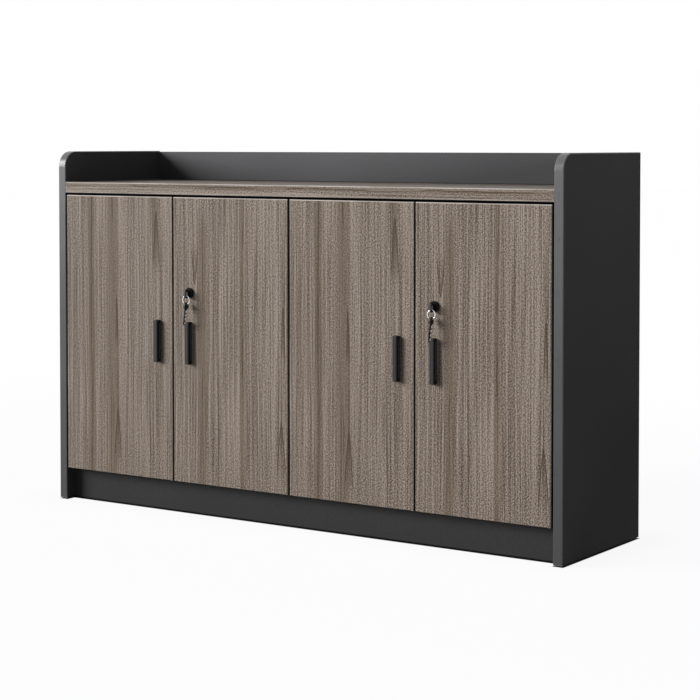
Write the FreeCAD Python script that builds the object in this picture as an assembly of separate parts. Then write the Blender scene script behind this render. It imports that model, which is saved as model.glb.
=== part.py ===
import FreeCAD
import Part
import math
import os
from FreeCAD import Vector

# Low office cupboard with four hinged doors under a worktop that is edged by a raised gallery.
# Millimetres. X runs to the right, Y to the back and Z up, with the floor at Z = 0.
# The origin is at the middle of the bounding box's bottom face.

# Carcass
WIDTH = 1400.0
HEIGHT = 860.0
DEPTH = 362.0
SIDE_THICK = 22.0
BOARD = 18.0
WORKTOP_THICK = 28.0
WORKTOP_ROUND = 3.0
BACK_THICK = 5.0
BACK_PLAY = 0.5
GALLERY = 75.0
CORNER_RADIUS = 38.0
BAND_THICK = 2.0
BAND_ROUND = 1.6
PLINTH_HEIGHT = 78.0
INNER_SETBACK = 24.0
PLINTH_SETBACK = 28.0
SHELF_SETBACK = 50.0
SHELF_PLAY = 1.0
REBATE_WIDTH = 10.0
GLIDE_HEIGHT = 3.0
GLIDE_RADIUS = 8.0
GLIDE_TAPER = 1.5
GLIDE_INSET = 40.0
BUFFER_RADIUS = 4.0
BUFFER_INSET = 60.0
BUFFER_PLAY = 0.4

# Doors
DOOR_COUNT = 4
DOOR_GAP = 4.0
DOOR_OVERLAP = 2.0
DOOR_THICK = 18.0
DOOR_HINGE_ROUND = 3.0
DOOR_FREE_ROUND = 1.5
DOOR_EDGE_ROUND = 1.3
HINGE_INSET_Z = 100.0

# Handles, measured from the middle of a pair's gap and from the doors' top edge
HANDLE_LENGTH = 100.0
HANDLE_WIDTH = 12.0
HANDLE_REACH = 13.0
HANDLE_ROUND = 2.5
HANDLE_END_ROUND = 1.2
HANDLE_SCREWS = 64.0
HANDLE_SCREW = 2.0
HANDLE_SCREW_BITE = 7.0
HANDLE_OFFSET_LEFT = 44.5
HANDLE_OFFSET_RIGHT = 50.5
HANDLE_DROP = 343.0
GROOVE_DEEP = 2.4
GROOVE_START = 0.8
GROOVE_WIDE = 5.4
GROOVE_ROUND = 2.5
GROOVE_END = 8.0

# Single-pivot cup hinge
PIN_EDGE = 12.5
PIN_FRONT = 8.5
PIN_RADIUS = 1.5
KNUCKLE_WALL = 1.0
CUP_EDGE = 20.5
CUP_RADIUS = 17.5
CUP_WALL = 0.8
CUP_DEEP = 13.2
CUP_COLLAR = 1.0
CUP_PLAY = 0.1
FLANGE_THICK = 1.0
FLANGE_HALF = 6.5
FLANGE_REACH = 31.0
FLANGE_SCREW_Z = 24.0
FLANGE_SCREW_EDGE = 6.0
FLANGE_SCREW_BITE = 10.0
ARM_THICK = 2.0
ARM_HALF = 6.0
NECK_RADIUS = 15.2
ARM_END = 86.0
ARM_SCREW = 74.0
PLATE_THICK = 2.0
PLATE_MIDDLE = 61.0
PLATE_HALF = 9.0
PLATE_REACH = 23.0
PLATE_ROUND = 8.0
PLATE_SCREW_Z = 16.0
PLATE_SCREW_BITE = 7.5
BOSS_START = 35.0
BOSS_HALF = 7.0
BOSS_ROUND = 2.0
SIDE_BOSS = 7.0
PARTITION_BOSS = 4.0

# Screws and fittings
SCREW_SHANK = 1.7
SCREW_HEAD = 3.2
HEAD_THICK = 1.8
HEAD_TAPER = 0.65
HOLE_PLAY = 0.15
TURN_PLAY = 0.08
BACK_SCREW_LENGTH = 16.0
BACK_SCREW_PITCH_X = 275.0
BACK_SCREW_PITCH_Z = 168.0
COUNTERSINK = 2.0
CAM_RADIUS = 7.5
CAM_DEEP = 12.5
CAM_EDGE = 34.0
CAM_BOLT = 3.5
CAM_BOLT_DEEP = 8.0
CAM_BOLT_BITE = 10.0
CAM_SLOT_LONG = 9.0
CAM_SLOT_WIDE = 1.6
CAM_SLOT_DEEP = 1.5
CAM_INSET = 110.0
CAM_SPACING = 170.0
SHELF_PIN = 2.5
SHELF_PIN_DEEP = 8.2
SHELF_PIN_OUT = 9.0
PIN_INSET = 90.0
PIN_SPACING = 210.0
PIN_PITCH = 32.0

# Lock, from the doors' top edge
LOCK_DROP = 225.0
LOCK_FACE = 12.0
LOCK_PROUD = 5.0
LOCK_ROUND = 1.5
LOCK_BODY = 9.5
LOCK_BODY_DEEP = 23.0
NUT_RADIUS = 14.0
NUT_THICK = 3.0
NUT_PLAY = 0.05
PLUG_RADIUS = 6.0
PLUG_PROUD = 0.3
TAIL_HALF = 3.5
TAIL_PLAY = 0.1
KEYWAY_DEEP = 17.0
KEYWAY_HALF = 4.3
TONGUE_LENGTH = 70.0
TONGUE_HALF = 8.0
TONGUE_THICK = 2.0
TONGUE_ROUND = 6.0
TONGUE_SCREW = 2.0
TONGUE_SCREW_HEAD = 5.5
TONGUE_SCREW_BITE = 7.5
STRIKE_EDGE = 3.0
STRIKE_WIDTH = 23.0
STRIKE_HALF = 13.0
STRIKE_THICK = 4.8
STRIKE_ROUND = 3.0
STRIKE_BEVEL = 1.5

# Keys and ring, with the ring's reach counted out from the door's face
RING_RADIUS = 9.8
RING_WIRE = 1.0
RING_REACH = 13.0
RING_HANG = 6.4
RING_PLAY = 0.4
EYE_HALF = 2.6
EYE_ROUND = 2.5
EYE_RISE = 4.0
BLADE_THICK = 2.0
BLADE_HALF = 4.0
BLADE_DEEP = 15.0
BLADE_POINT = 3.0
KEY_HEAD_THICK = 3.8
KEY_HEAD_NEAR = 7.5
KEY_HEAD_FAR = 19.0
KEY_HEAD_LOW = 11.5
KEY_HEAD_HIGH = 8.0
KEY_HEAD_ROUND = 4.0
CUT_RADIUS = 1.8
CUT_PITCH = 3.4
CUT_RISE = 0.6
SPARE_HEAD = 8.0
SPARE_HEAD_DROP = 3.5
SPARE_EYE = 2.2
SPARE_LENGTH = 49.8
SPARE_BLADE_HALF = 3.5
SPARE_LEAN = 10.0

# Worked out from the sizes above
LEAN_DOWN = math.cos(math.radians(SPARE_LEAN))
LEAN_OUT = math.sin(math.radians(SPARE_LEAN))
KEY_REACH = RING_REACH + SPARE_BLADE_HALF * LEAN_DOWN + (SPARE_LENGTH - BLADE_POINT) * LEAN_OUT
FRONT = (KEY_REACH - DEPTH) / 2
BACK = FRONT + DEPTH
INNER_BACK = BACK - BACK_THICK
INNER_FRONT = FRONT + INNER_SETBACK
PLINTH_FRONT = FRONT + PLINTH_SETBACK
INNER_X = WIDTH / 2 - SIDE_THICK
WORKTOP_TOP = HEIGHT - GALLERY
WORKTOP_UNDER = WORKTOP_TOP - WORKTOP_THICK
FLOOR_PANEL_UNDER = GLIDE_HEIGHT + PLINTH_HEIGHT
FLOOR_PANEL_TOP = FLOOR_PANEL_UNDER + BOARD
SHELF_UNDER = (FLOOR_PANEL_TOP + WORKTOP_UNDER - BOARD) / 2
DOOR_LOW = FLOOR_PANEL_UNDER - DOOR_OVERLAP
DOOR_HIGH = WORKTOP_UNDER - DOOR_GAP
DOOR_WIDTH = (2 * INNER_X - (DOOR_COUNT + 1) * DOOR_GAP) / DOOR_COUNT
HINGE_HEIGHTS = (DOOR_LOW + HINGE_INSET_Z, DOOR_HIGH - HINGE_INSET_Z)
HANDLE_Z = DOOR_HIGH - HANDLE_DROP
HANDLE_SCREW_HEIGHTS = (HANDLE_Z - HANDLE_SCREWS / 2, HANDLE_Z + HANDLE_SCREWS / 2)
LOCK_Z = DOOR_HIGH - LOCK_DROP
RING_TOP = LOCK_Z - RING_HANG
RING_BOTTOM = RING_TOP - 2 * RING_RADIUS
CAM_ROWS = (FRONT + CAM_INSET, FRONT + CAM_INSET + CAM_SPACING)
PIN_ROWS = (FRONT + PIN_INSET, FRONT + PIN_INSET + PIN_SPACING)


def to_space(plane, first, second):
    """A point of the XY, YZ or XZ plane as a vector."""
    if plane == "XY":
        return Vector(first, second, 0)
    if plane == "YZ":
        return Vector(0, first, second)
    return Vector(first, 0, second)


def outline(plane, corners):
    """Closed wire through (first, second, radius) corners, each rounded by a tangent arc."""
    points = [Vector(a, b, 0) for a, b, _ in corners]
    starts, middles, ends = [], [], []
    for i, (_, _, radius) in enumerate(corners):
        here = points[i]
        back = (points[i - 1] - here).normalize()
        ahead = (points[(i + 1) % len(points)] - here).normalize()
        half = back.getAngle(ahead) / 2
        reach = radius / math.tan(half)
        inward = (back + ahead).normalize()
        starts.append(here + back * reach)
        ends.append(here + ahead * reach)
        middles.append(here + inward * (radius / math.sin(half) - radius))
    edges = []
    for i, (_, _, radius) in enumerate(corners):
        place = [to_space(plane, p.x, p.y) for p in (starts[i], middles[i], ends[i])]
        if radius > 0:
            edges.append(Part.Arc(*place).toShape())
        following = starts[(i + 1) % len(starts)]
        if (following - ends[i]).Length > 1e-6:
            edges.append(Part.makeLine(place[2], to_space(plane, following.x, following.y)))
    return Part.Wire(edges)


def prism(plane, corners, low, high):
    """The rounded outline pushed along the plane's normal from low to high."""
    normal = {"XY": Vector(0, 0, 1), "YZ": Vector(1, 0, 0), "XZ": Vector(0, 1, 0)}[plane]
    face = Part.Face(outline(plane, corners))
    face.translate(normal * low)
    return face.extrude(normal * (high - low))


def plate(plane, first, second, radius, low, high):
    """A rectangle with all four corners rounded alike, pushed from low to high."""
    corners = [(a, b, radius) for a, b in (
        (first[0], second[0]),
        (first[1], second[0]),
        (first[1], second[1]),
        (first[0], second[1]),
    )]
    return prism(plane, corners, low, high)


def block(x, y, z):
    """A box between pairs of low and high values."""
    return Part.makeBox(x[1] - x[0], y[1] - y[0], z[1] - z[0], Vector(x[0], y[0], z[0]))


def rod(radius, start, end):
    """A round bar between two points."""
    run = Vector(*end) - Vector(*start)
    return Part.makeCylinder(radius, run.Length, Vector(*start), run)


def join(shapes):
    """Several touching shapes fused to one solid."""
    shapes = list(shapes)
    return shapes[0].multiFuse(shapes[1:]).removeSplitter()


def group(shapes):
    """Several separate solids kept apart in one node."""
    return Part.makeCompound(list(shapes))


def screw(start, axis, length, radius=SCREW_SHANK, head=SCREW_HEAD, head_thick=HEAD_THICK):
    """A screw whose tapered head's underside is at start, with its shank along axis."""
    start = Vector(*start)
    axis = Vector(*axis)
    top = Part.makeCone(head, head * HEAD_TAPER, head_thick, start, axis * -1)
    return top.fuse(Part.makeCylinder(radius, length, start, axis)).removeSplitter()


class Door:
    """Where one door is and which of its edges carries the hinges."""

    def __init__(self, index):
        self.name = "door_" + str(index + 1)
        self.hinged_left = index % 2 == 0
        self.on_partition = index in (1, 2)
        left = -INNER_X + DOOR_GAP + index * (DOOR_WIDTH + DOOR_GAP)
        self.edge = left if self.hinged_left else left + DOOR_WIDTH
        offset = HANDLE_OFFSET_LEFT if self.hinged_left else HANDLE_OFFSET_RIGHT
        self.handle = DOOR_WIDTH + DOOR_GAP / 2 - offset
        self.locked = not self.hinged_left

    def place(self, shape):
        """Move a shape from the door's own frame, with its hinge edge at X = 0 and face at Y = 0."""
        if not self.hinged_left:
            shape = shape.mirror(Vector(0, 0, 0), Vector(1, 0, 0))
        return shape.translate(Vector(self.edge, FRONT, 0))


DOORS = [Door(index) for index in range(DOOR_COUNT)]


# Connecting fittings: a cam in one board draws a bolt that is screwed into the next

def cam_places():
    """Cam centre on the board's face, direction into the board, and the bolt's direction."""
    for side in (-1, 1):
        x = side * (INNER_X - CAM_EDGE)
        for y in CAM_ROWS:
            yield Vector(x, y, WORKTOP_UNDER), Vector(0, 0, 1), Vector(side, 0, 0)
            yield Vector(x, y, FLOOR_PANEL_UNDER), Vector(0, 0, 1), Vector(side, 0, 0)
    for y in CAM_ROWS:
        for z, up in ((FLOOR_PANEL_TOP + CAM_EDGE, -1), (WORKTOP_UNDER - CAM_EDGE, 1)):
            yield Vector(-BOARD / 2, y, z), Vector(1, 0, 0), Vector(0, 0, up)


def cam_fitting(centre, inward, bolt):
    """The cam drum, open on the bolt's side, with a screwdriver slot in its face."""
    drum = Part.makeCylinder(CAM_RADIUS, CAM_DEEP, centre, inward)
    mouth = Part.makeCylinder(CAM_BOLT + HOLE_PLAY, CAM_RADIUS * 2, centre + inward * CAM_BOLT_DEEP, bolt)
    across = inward.cross(bolt)
    half = Vector(CAM_SLOT_LONG / 2, CAM_SLOT_WIDE / 2, CAM_SLOT_DEEP)
    slot = Part.makeBox(CAM_SLOT_LONG, CAM_SLOT_WIDE, 2 * CAM_SLOT_DEEP, half * -1)
    turn = FreeCAD.Rotation(bolt, across, inward, "ZXY")
    slot.Placement = FreeCAD.Placement(centre, turn)
    return drum.cut(mouth).cut(slot)


def cam_bolt(centre, inward, bolt, radius=CAM_BOLT, bite=CAM_BOLT_BITE):
    """The bolt from the cam's middle into the next board."""
    return Part.makeCylinder(radius, CAM_EDGE + bite, centre + inward * CAM_BOLT_DEEP, bolt)


def cam_holes():
    """Everything that is drilled for the connecting fittings."""
    for centre, inward, bolt in cam_places():
        yield Part.makeCylinder(CAM_RADIUS + HOLE_PLAY, CAM_DEEP + HOLE_PLAY, centre, inward)
        yield cam_bolt(centre, inward, bolt, CAM_BOLT + HOLE_PLAY, CAM_BOLT_BITE + HOLE_PLAY)


# Shelf pins

def shelf_walls():
    """The X of each wall that carries shelf pins, and the way its pins point."""
    return ((-INNER_X, 1), (-BOARD / 2, -1), (BOARD / 2, 1), (INNER_X, -1))


def shelf_pin(wall, way, y):
    z = SHELF_UNDER - SHELF_PIN
    return rod(SHELF_PIN, (wall - way * SHELF_PIN_DEEP, y, z), (wall + way * SHELF_PIN_OUT, y, z))


def pin_holes():
    """Three heights to choose from in every row."""
    for wall, way in shelf_walls():
        for y in PIN_ROWS:
            for step in (-1, 0, 1):
                z = SHELF_UNDER - SHELF_PIN + step * PIN_PITCH
                start = (wall - way * (SHELF_PIN_DEEP + HOLE_PLAY), y, z)
                yield rod(SHELF_PIN + HOLE_PLAY, start, (wall, y, z))


# Hinges: every shape is made in the door's own frame and placed by the door

def hinge_face(door):
    """Where the mounting face is, counted from the door's hinge edge."""
    return (BOARD - DOOR_GAP) / 2 if door.on_partition else -DOOR_GAP


def limb_face(door):
    """Where the arm's limb lies on the mounting plate's boss."""
    boss = PARTITION_BOSS if door.on_partition else SIDE_BOSS
    return hinge_face(door) + PLATE_THICK + boss


def hinge_cup(z):
    """Pressed cup with its flange and the pin that is riveted across it."""
    floor = DOOR_THICK - CUP_DEEP
    top = DOOR_THICK + FLANGE_THICK
    shell = rod(CUP_RADIUS, (CUP_EDGE, floor, z), (CUP_EDGE, top, z))
    collar = rod(CUP_RADIUS + CUP_COLLAR, (CUP_EDGE, DOOR_THICK, z), (CUP_EDGE, top, z))
    middle = CUP_EDGE + FLANGE_SCREW_EDGE
    wing_x = (middle - FLANGE_HALF, middle + FLANGE_HALF)
    wing_z = (z - FLANGE_REACH, z + FLANGE_REACH)
    wing = plate("XZ", wing_x, wing_z, FLANGE_HALF - CUP_PLAY, DOOR_THICK, top)
    hollow = rod(CUP_RADIUS - CUP_WALL, (CUP_EDGE, floor + CUP_WALL, z), (CUP_EDGE, top, z))
    cup = join([shell, collar, wing]).cut(hollow)
    for x, y, hole_z in flange_screws(z):
        cup = cup.cut(rod(SCREW_SHANK + HOLE_PLAY, (x, DOOR_THICK, hole_z), (x, y, hole_z)))
    pin = rod(PIN_RADIUS, (PIN_EDGE, PIN_FRONT, z - CUP_RADIUS), (PIN_EDGE, PIN_FRONT, z + CUP_RADIUS))
    return join([cup, pin.common(shell)])


def flange_screws(z):
    """The two screw heads' seats on one cup's flange."""
    x = CUP_EDGE + FLANGE_SCREW_EDGE
    y = DOOR_THICK + FLANGE_THICK
    return [(x, y, z - FLANGE_SCREW_Z), (x, y, z + FLANGE_SCREW_Z)]


def hinge_arm(door, z):
    """Goose-neck arm: knuckle on the pin, neck round the door's edge, limb on the plate."""
    low, high = z - ARM_HALF, z + ARM_HALF
    foot, head = (PIN_EDGE, PIN_FRONT, low), (PIN_EDGE, PIN_FRONT, high)
    outer = NECK_RADIUS + ARM_THICK
    half = ARM_THICK / 2
    limb = limb_face(door)
    knuckle = rod(PIN_RADIUS + KNUCKLE_WALL, foot, head)
    leg = block((PIN_EDGE, PIN_EDGE + outer - half), (PIN_FRONT - half, PIN_FRONT + half), (low, high))
    neck = rod(outer, foot, head).cut(rod(NECK_RADIUS, foot, head))
    quarter = block((PIN_EDGE, PIN_EDGE + outer), (PIN_FRONT - half, PIN_FRONT + outer), (low, high))
    pieces = [knuckle, leg, neck.common(quarter)]
    bend = PIN_FRONT + NECK_RADIUS
    if limb < PIN_EDGE:
        pieces.append(block((limb, PIN_EDGE), (bend, bend + ARM_THICK), (low, high)))
    pieces.append(block((limb, limb + ARM_THICK), (bend, ARM_END), (low, high)))
    arm = join(pieces).cut(rod(PIN_RADIUS + TURN_PLAY, foot, head))
    return arm.cut(rod(SCREW_SHANK + HOLE_PLAY, (limb, ARM_SCREW, z), (limb + ARM_THICK, ARM_SCREW, z)))


def hinge_plate(door, z):
    """Mounting plate with two screw ears and the boss that the arm's limb lies on."""
    face = hinge_face(door)
    front = face + PLATE_THICK
    limb = limb_face(door)
    ear_y = (PLATE_MIDDLE - PLATE_HALF, PLATE_MIDDLE + PLATE_HALF)
    ears = plate("YZ", ear_y, (z - PLATE_REACH, z + PLATE_REACH), PLATE_ROUND, face, front)
    boss = plate("YZ", (BOSS_START, ARM_END), (z - BOSS_HALF, z + BOSS_HALF), BOSS_ROUND, face, limb)
    body = join([ears, boss])
    for x, y, hole_z in plate_screws(door, z):
        body = body.cut(rod(SCREW_SHANK + HOLE_PLAY, (face, y, hole_z), (x, y, hole_z)))
    return body.cut(rod(SCREW_SHANK + HOLE_PLAY, (front, ARM_SCREW, z), (limb, ARM_SCREW, z)))


def plate_screws(door, z):
    """The two screw heads' seats on one mounting plate."""
    x = hinge_face(door) + PLATE_THICK
    return [(x, PLATE_MIDDLE, z - PLATE_SCREW_Z), (x, PLATE_MIDDLE, z + PLATE_SCREW_Z)]


def hinge_screw_set(door):
    """Plate and arm screws of one door's two hinges."""
    for z in HINGE_HEIGHTS:
        for seat in plate_screws(door, z):
            yield screw(seat, (-1, 0, 0), PLATE_THICK + PLATE_SCREW_BITE)
        top = limb_face(door) + ARM_THICK
        reach = top - hinge_face(door) - PLATE_THICK - HOLE_PLAY
        yield screw((top, ARM_SCREW, z), (-1, 0, 0), reach)


def hinge_holes(door):
    """Pilot holes in the board that carries one door's mounting plates."""
    for z in HINGE_HEIGHTS:
        for x, y, hole_z in plate_screws(door, z):
            deep = x - PLATE_THICK - PLATE_SCREW_BITE - HOLE_PLAY
            yield door.place(rod(SCREW_SHANK + HOLE_PLAY, (deep, y, hole_z), (x, y, hole_z)))


# Carcass boards

def side_panel(side, holes):
    """One side with its rounded top front corner and the rebate for the back."""
    x = sorted((side * INNER_X, side * WIDTH / 2))
    corners = (
        (FRONT + BAND_THICK, GLIDE_HEIGHT, 0),
        (BACK, GLIDE_HEIGHT, 0),
        (BACK, HEIGHT - BAND_THICK, 0),
        (FRONT + BAND_THICK, HEIGHT - BAND_THICK, CORNER_RADIUS - BAND_THICK),
    )
    panel = prism("YZ", corners, x[0], x[1])
    rebate_x = sorted((side * INNER_X, side * (INNER_X + REBATE_WIDTH)))
    panel = panel.cut(block(rebate_x, (INNER_BACK, BACK), (FLOOR_PANEL_UNDER, HEIGHT)))
    return panel.cut(holes)


def edge_band(side):
    """The plastic strip along a side's front edge, round its corner and along its top."""
    x = sorted((side * INNER_X, side * WIDTH / 2))
    inner = CORNER_RADIUS - BAND_THICK
    corners = (
        (FRONT, GLIDE_HEIGHT, 0),
        (FRONT + BAND_THICK, GLIDE_HEIGHT, 0),
        (FRONT + BAND_THICK, HEIGHT - BAND_THICK, inner),
        (BACK, HEIGHT - BAND_THICK, 0),
        (BACK, HEIGHT, 0),
        (FRONT, HEIGHT, CORNER_RADIUS),
    )
    band = prism("YZ", corners, x[0], x[1])
    long_edges = [e for e in band.Edges if on_outer_run(e)]
    return band.makeFillet(BAND_ROUND, long_edges)


def on_outer_run(edge):
    """True for the edges along a band's outer face, in both of its side planes."""
    box = edge.BoundBox
    if box.XLength > 1e-6:
        return False
    straight = box.YLength < 1e-6 and abs(box.YMin - FRONT) < 1e-6
    level = box.ZLength < 1e-6 and abs(box.ZMax - HEIGHT) < 1e-6
    curved = abs(box.YMin - FRONT) < 1e-4 and abs(box.ZMax - HEIGHT) < 1e-4
    return straight or level or curved


def worktop(holes):
    """The top between the sides, with its front edge rounded above and below."""
    corners = (
        (FRONT, WORKTOP_UNDER, WORKTOP_ROUND),
        (INNER_BACK, WORKTOP_UNDER, 0),
        (INNER_BACK, WORKTOP_TOP, 0),
        (FRONT, WORKTOP_TOP, WORKTOP_ROUND),
    )
    return prism("YZ", corners, -INNER_X, INNER_X).cut(holes)


def floor_panel(holes):
    x = (-INNER_X, INNER_X)
    return block(x, (INNER_FRONT, INNER_BACK), (FLOOR_PANEL_UNDER, FLOOR_PANEL_TOP)).cut(holes)


def plinth(front):
    """A board that stands on edge under the floor panel."""
    return block((-INNER_X, INNER_X), (front, front + BOARD), (GLIDE_HEIGHT, FLOOR_PANEL_UNDER))


def centre_partition(holes):
    x = (-BOARD / 2, BOARD / 2)
    return block(x, (INNER_FRONT, INNER_BACK), (FLOOR_PANEL_TOP, WORKTOP_UNDER)).cut(holes)


def back_panel(holes):
    reach = INNER_X + REBATE_WIDTH - BACK_PLAY
    x = (-reach, reach)
    return block(x, (INNER_BACK, BACK), (FLOOR_PANEL_UNDER, HEIGHT - BAND_THICK)).cut(holes)


def shelf(side):
    x = sorted((side * (BOARD / 2 + SHELF_PLAY), side * (INNER_X - SHELF_PLAY)))
    y = (FRONT + SHELF_SETBACK, INNER_BACK - SHELF_PLAY)
    board = block(x, y, (SHELF_UNDER, SHELF_UNDER + BOARD))
    nose = [e for e in board.Edges if e.BoundBox.YMax < y[0] + 1e-6 and e.BoundBox.XLength > 1]
    return board.makeFillet(DOOR_FREE_ROUND, nose)


def glide(x, y):
    """A nail-on glide that tapers to the floor."""
    return Part.makeCone(GLIDE_RADIUS - GLIDE_TAPER, GLIDE_RADIUS, GLIDE_HEIGHT, Vector(x, y, 0))


def glide_places():
    middle = (WIDTH - SIDE_THICK) / 2
    for x in (-middle, middle):
        yield x, FRONT + GLIDE_INSET
        yield x, BACK - GLIDE_INSET
    for x in (-INNER_X / 2, 0, INNER_X / 2):
        yield x, PLINTH_FRONT + BOARD / 2
        yield x, INNER_BACK - BOARD / 2


def back_screw_places():
    """Rows of screws through the back into the worktop and floor panel, and up the partition."""
    for z in (FLOOR_PANEL_UNDER + BOARD / 2, WORKTOP_UNDER + WORKTOP_THICK / 2):
        for step in range(-2, 3):
            yield step * BACK_SCREW_PITCH_X, z
    for step in range(-1, 2):
        yield 0.0, SHELF_UNDER + BOARD / 2 + step * BACK_SCREW_PITCH_Z


def back_screw(x, z, play=0.0):
    """A countersunk screw, flush with the back's outer face."""
    neck = Vector(x, BACK - COUNTERSINK, z)
    head = Part.makeCone(SCREW_SHANK + play, SCREW_HEAD + play, COUNTERSINK, neck, Vector(0, 1, 0))
    shank = rod(SCREW_SHANK + play, (x, BACK - BACK_SCREW_LENGTH - play, z), neck)
    return join([head, shank])


def door_buffer(door):
    """A soft buffer on the floor panel's edge, just short of the closed door."""
    x = DOOR_WIDTH - BUFFER_INSET
    z = FLOOR_PANEL_UNDER + BOARD / 2
    return door.place(rod(BUFFER_RADIUS, (x, DOOR_THICK + BUFFER_PLAY, z), (x, INNER_SETBACK, z)))


# Doors and what they carry

def door_panel(door):
    """One door board with its edges eased, drilled for cups, handle and lock."""
    corners = (
        (0, 0, DOOR_HINGE_ROUND),
        (DOOR_WIDTH, 0, DOOR_FREE_ROUND),
        (DOOR_WIDTH, DOOR_THICK, DOOR_FREE_ROUND),
        (0, DOOR_THICK, DOOR_HINGE_ROUND),
    )
    board = prism("XY", corners, DOOR_LOW, DOOR_HIGH)
    ends = [e for e in board.Edges if e.BoundBox.ZLength < 1e-6]
    board = board.makeFillet(DOOR_EDGE_ROUND, ends)
    tools = []
    for z in HINGE_HEIGHTS:
        floor = DOOR_THICK - CUP_DEEP - CUP_PLAY
        tools.append(rod(CUP_RADIUS + CUP_PLAY, (CUP_EDGE, floor, z), (CUP_EDGE, DOOR_THICK, z)))
        for x, y, hole_z in flange_screws(z):
            deep = y - FLANGE_THICK - FLANGE_SCREW_BITE - HOLE_PLAY
            tools.append(rod(SCREW_SHANK + HOLE_PLAY, (x, deep, hole_z), (x, y, hole_z)))
    for z in HANDLE_SCREW_HEIGHTS:
        tools.append(through_hole(door, HANDLE_SCREW, z))
    if door.locked:
        tools.append(through_hole(door, LOCK_BODY, LOCK_Z))
    return board.cut(group(tools))


def through_hole(door, radius, z):
    """A hole through the door on its handle's centre line."""
    return rod(radius + HOLE_PLAY, (door.handle, 0, z), (door.handle, DOOR_THICK, z))


def handle(door):
    """Solid bar pull with a finger groove along each side, closed at both ends."""
    half = HANDLE_WIDTH / 2
    low, high = HANDLE_Z - HANDLE_LENGTH / 2, HANDLE_Z + HANDLE_LENGTH / 2
    x = door.handle
    corners = (
        (x - half, -HANDLE_REACH, HANDLE_ROUND),
        (x + half, -HANDLE_REACH, HANDLE_ROUND),
        (x + half, 0, 0),
        (x - half, 0, 0),
    )
    bar = prism("XY", corners, low, high)
    ends = [e for e in bar.Edges if e.BoundBox.ZLength < 1e-6 and e.BoundBox.YMin < -1e-6]
    bar = bar.makeFillet(HANDLE_END_ROUND, ends)
    groove_y = (-GROOVE_START - GROOVE_WIDE, -GROOVE_START)
    for side in (-1, 1):
        groove_x = sorted((x + side * (half - GROOVE_DEEP), x + side * (half + GROOVE_WIDE)))
        bar = bar.cut(plate("XY", groove_x, groove_y, GROOVE_ROUND, low + GROOVE_END, high - GROOVE_END))
    for z in HANDLE_SCREW_HEIGHTS:
        deep = HANDLE_SCREW_BITE + HOLE_PLAY
        bar = bar.cut(rod(HANDLE_SCREW + HOLE_PLAY, (x, -deep, z), (x, 0, z)))
    return bar


def door_screws(door):
    """Handle screws from behind, and the screws of both hinge cups."""
    for z in HANDLE_SCREW_HEIGHTS:
        length = DOOR_THICK + HANDLE_SCREW_BITE
        yield screw((door.handle, DOOR_THICK, z), (0, -1, 0), length, HANDLE_SCREW, 2 * HANDLE_SCREW)
    for z in HINGE_HEIGHTS:
        for seat in flange_screws(z):
            yield screw(seat, (0, -1, 0), FLANGE_THICK + FLANGE_SCREW_BITE)


def strike(door):
    """The pad on the neighbouring door that the lock's tongue turns behind."""
    x = (DOOR_WIDTH - STRIKE_EDGE - STRIKE_WIDTH, DOOR_WIDTH - STRIKE_EDGE)
    z = (LOCK_Z - STRIKE_HALF, LOCK_Z + STRIKE_HALF)
    rear = DOOR_THICK + STRIKE_THICK
    pad = plate("XZ", x, z, STRIKE_ROUND, DOOR_THICK, rear)
    return pad.makeChamfer(STRIKE_BEVEL, [e for e in pad.Edges if e.BoundBox.YMin > rear - 1e-6])


# Locks: made in the door's own frame, about the lock's axis

def lock_housing(door):
    """Round face in front of the door with the threaded body through it."""
    x = door.handle
    face = rod(LOCK_FACE, (x, -LOCK_PROUD, LOCK_Z), (x, 0, LOCK_Z))
    rim = [e for e in face.Edges if e.BoundBox.YMax < -LOCK_PROUD + 1e-6]
    face = face.makeFillet(LOCK_ROUND, rim)
    body = rod(LOCK_BODY, (x, 0, LOCK_Z), (x, LOCK_BODY_DEEP, LOCK_Z))
    bore = rod(PLUG_RADIUS + TURN_PLAY, (x, -LOCK_PROUD, LOCK_Z), (x, LOCK_BODY_DEEP, LOCK_Z))
    return join([face, body]).cut(bore)


def lock_nut(door):
    """Hexagon nut that clamps the lock's body from behind."""
    corners = []
    for step in range(6):
        turn = math.radians(60 * step)
        across, up = NUT_RADIUS * math.cos(turn), NUT_RADIUS * math.sin(turn)
        corners.append((door.handle + across, LOCK_Z + up, 0))
    rear = DOOR_THICK + NUT_THICK
    nut = prism("XZ", corners, DOOR_THICK, rear)
    return nut.cut(rod(LOCK_BODY + NUT_PLAY, (door.handle, DOOR_THICK, LOCK_Z), (door.handle, rear, LOCK_Z)))


def square_bar(x, half, y):
    """A square bar on the lock's axis."""
    return block((x - half, x + half), y, (LOCK_Z - half, LOCK_Z + half))


def lock_plug(door):
    """The turning plug, with its keyway in front and a square tail for the tongue."""
    x = door.handle
    front, rear = -LOCK_PROUD - PLUG_PROUD, LOCK_BODY_DEEP + PLUG_PROUD
    end = rear + TONGUE_THICK
    barrel = rod(PLUG_RADIUS, (x, front, LOCK_Z), (x, rear, LOCK_Z))
    tail = square_bar(x, TAIL_HALF, (rear, end))
    half = BLADE_THICK / 2 + HOLE_PLAY
    keyway = block((x - half, x + half), (front, KEYWAY_DEEP), (LOCK_Z - KEYWAY_HALF, LOCK_Z + KEYWAY_HALF))
    deep = end - TONGUE_SCREW_BITE - HOLE_PLAY
    thread = rod(TONGUE_SCREW + HOLE_PLAY, (x, deep, LOCK_Z), (x, end, LOCK_Z))
    return join([barrel, tail]).cut(keyway).cut(thread)


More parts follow.
